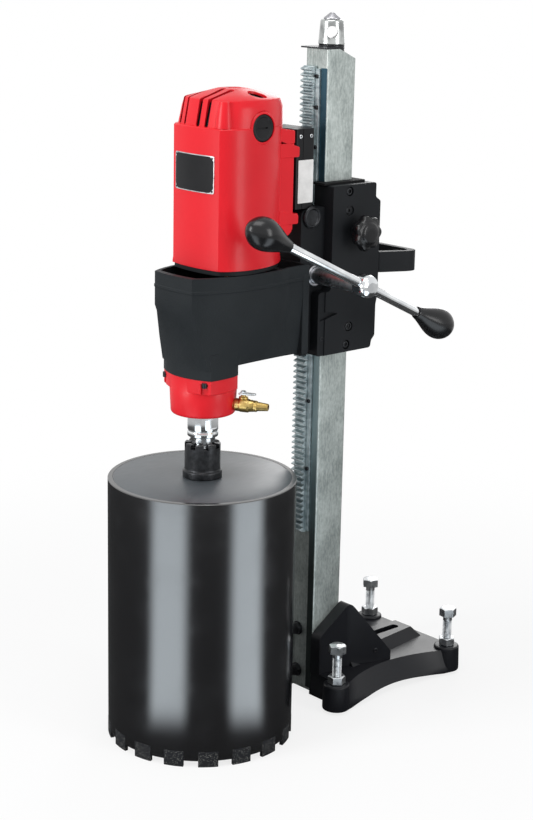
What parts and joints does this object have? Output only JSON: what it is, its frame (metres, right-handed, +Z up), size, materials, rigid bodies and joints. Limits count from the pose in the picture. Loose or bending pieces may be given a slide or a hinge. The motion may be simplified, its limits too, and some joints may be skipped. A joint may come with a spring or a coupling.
{
  "type": "core drill rig",
  "caption": "Core drill stand with a geared carriage on a rack column, a feed lever, a wet drill motor with gearbox and a large diamond core bit.",
  "frame": {"origin": "centre of the bounding box in X and Y, at the floor: the levelling screws' tips and the bit's rim stand on Z = 0", "axes": "+Z up along the column, -Y to the drill side, +X to the feed lever"},
  "size_m": [0.2728, 0.5592, 0.9666],
  "materials": {
    "zinc_steel": "bright zinc plate, lightly mottled",
    "column_steel": "zinc plated tube, mottled",
    "dark_steel": "blackened steel",
    "chrome_steel": "polished",
    "gear_steel": "hardened and ground",
    "black_casting": "satin black paint over a casting",
    "black_aluminium": "satin black paint over an aluminium casting",
    "gloss_black": "gloss black paint",
    "red_enamel": "gloss red enamel over an aluminium casting",
    "black_plastic": "fine texture",
    "brass": "turned",
    "bronze": "plain bearing bronze",
    "copper": "laminated steel with copper windings",
    "carbon": "pressed carbon",
    "rubber": "moulded"
  },
  "bodies": {
    "stand": {"base_casting": "black_casting", "gusset_right": "black_casting", "gusset_left": "black_casting", "column_tube": "column_steel", "column_top_plate": "dark_steel", "column_bolt_upper": "dark_steel", "column_bolt_lower": "dark_steel", "rack": "zinc_steel", "lock_nut_front_right": "zinc_steel", "lock_nut_front_left": "zinc_steel", "lock_nut_rear_right": "zinc_steel", "lock_nut_rear_left": "zinc_steel"},
    "carriage": {"carriage_casting": "black_aluminium", "carry_handle": "black_aluminium", "upper_guide_liner": "bronze", "lower_guide_liner": "bronze", "guide_screw_upper": "dark_steel", "guide_screw_lower": "dark_steel", "shaft_bush_right": "bronze", "shaft_bush_left": "bronze", "mount_bolt": "zinc_steel", "gearbox_housing": "black_aluminium", "gearbox_lower_cover": "red_enamel", "bearing_plate": "black_aluminium", "motor_housing": "red_enamel", "motor_end_cover": "red_enamel", "stator": "copper", "brush_cap_right": "black_plastic", "brush_cap_left": "black_plastic", "carbon_brush_right": "carbon", "carbon_brush_left": "carbon", "switch_box": "black_plastic", "cable_gland": "black_plastic", "water_valve_body": "brass", "hose_barb": "brass", "spindle_lower_bearing": "gear_steel", "spindle_upper_bearing": "gear_steel", "spindle_seal": "rubber"},
    "feed": {"pinion_shaft": "zinc_steel", "feed_hub": "chrome_steel", "lever_bar": "chrome_steel", "lever_grip_front": "black_plastic", "lever_grip_rear": "black_plastic"},
    "lock_pad": {"lock_pad": "bronze"},
    "lock_knob": {"lock_knob": "black_plastic", "lock_screw": "zinc_steel"},
    "jack_point": {"jack_point": "dark_steel"},
    "jack_screw": {"jack_screw": "chrome_steel"},
    "spindle": {"spindle": "chrome_steel", "spindle_gear": "gear_steel", "bit_adapter": "dark_steel", "core_bit": "gloss_black"},
    "intermediate": {"intermediate_shaft": "gear_steel"},
    "armature": {"armature": "copper"},
    "tap_lever": {"tap_lever": "brass"},
    "switch_rocker": {"switch_rocker": "black_plastic"},
    "screw_front_right": {"levelling_screw_front_right": "zinc_steel"},
    "screw_front_left": {"levelling_screw_front_left": "zinc_steel"},
    "screw_rear_right": {"levelling_screw_rear_right": "zinc_steel"},
    "screw_rear_left": {"levelling_screw_rear_left": "zinc_steel"}
  },
  "joints": [
    {"name": "carriage_slide", "type": "slide", "parent": "stand", "child": "carriage", "axis": [0, 0, 1], "range_m": [-0.3, 0.15]},
    {"name": "feed_turn", "type": "hinge", "parent": "carriage", "child": "feed", "pos_m": [-0.00975, 0.01566, 0.622], "axis": [1, 0, 0], "range_deg": [-580, 1150]},
    {"name": "lock_pad_slide", "type": "slide", "parent": "carriage", "child": "lock_pad", "axis": [1, 0, 0], "range_m": [0, 0.002]},
    {"name": "lock_knob_turn", "type": "hinge", "parent": "lock_pad", "child": "lock_knob", "pos_m": [-0.00975, 0.07729, 0.678], "axis": [1, 0, 0], "range_deg": [0, 500]},
    {"name": "jack_point_slide", "type": "slide", "parent": "stand", "child": "jack_point", "axis": [0, 0, 1], "range_m": [0, 0.03]},
    {"name": "jack_screw_turn", "type": "hinge", "parent": "jack_point", "child": "jack_screw", "pos_m": [-0.00975, 0.06529, 0.94], "axis": [0, 0, 1], "range_deg": [0, 3660]},
    {"name": "spindle_spin", "type": "hinge", "parent": "carriage", "child": "spindle", "pos_m": [-0.00975, -0.15271, 0.5], "axis": [0, 0, 1], "continuous": true},
    {"name": "intermediate_spin", "type": "hinge", "parent": "carriage", "child": "intermediate", "pos_m": [0.01232, -0.12332, 0.56], "axis": [0, 0, 1], "continuous": true},
    {"name": "armature_spin", "type": "hinge", "parent": "carriage", "child": "armature", "pos_m": [-0.00975, -0.10911, 0.72], "axis": [0, 0, 1], "continuous": true},
    {"name": "tap_turn", "type": "hinge", "parent": "carriage", "child": "tap_lever", "pos_m": [0.0385, -0.12429, 0.483], "axis": [0, 0, 1], "range_deg": [0, 90]},
    {"name": "rocker_tilt", "type": "hinge", "parent": "carriage", "child": "switch_rocker", "pos_m": [-0.03875, -0.00633, 0.7895], "axis": [0, 1, 0], "range_deg": [0, 17]},
    {"name": "level_front_right", "type": "slide", "parent": "stand", "child": "screw_front_right", "axis": [0, 0, 1], "range_m": [-0.02, 0]},
    {"name": "level_front_left", "type": "slide", "parent": "stand", "child": "screw_front_left", "axis": [0, 0, 1], "range_m": [-0.02, 0]},
    {"name": "level_rear_right", "type": "slide", "parent": "stand", "child": "screw_rear_right", "axis": [0, 0, 1], "range_m": [-0.02, 0]},
    {"name": "level_rear_left", "type": "slide", "parent": "stand", "child": "screw_rear_left", "axis": [0, 0, 1], "range_m": [-0.02, 0]}
  ],
  "couplings": [
    {"joint": "feed_turn", "follows": "carriage_slide", "rad_per_m": -66.667},
    {"joint": "lock_knob_turn", "follows": "lock_pad_slide", "rad_per_m": 4188.8},
    {"joint": "jack_screw_turn", "follows": "jack_point_slide", "rad_per_m": 2094.4},
    {"joint": "intermediate_spin", "follows": "spindle_spin", "ratio": -3.2},
    {"joint": "armature_spin", "follows": "spindle_spin", "ratio": 11.733}
  ]
}
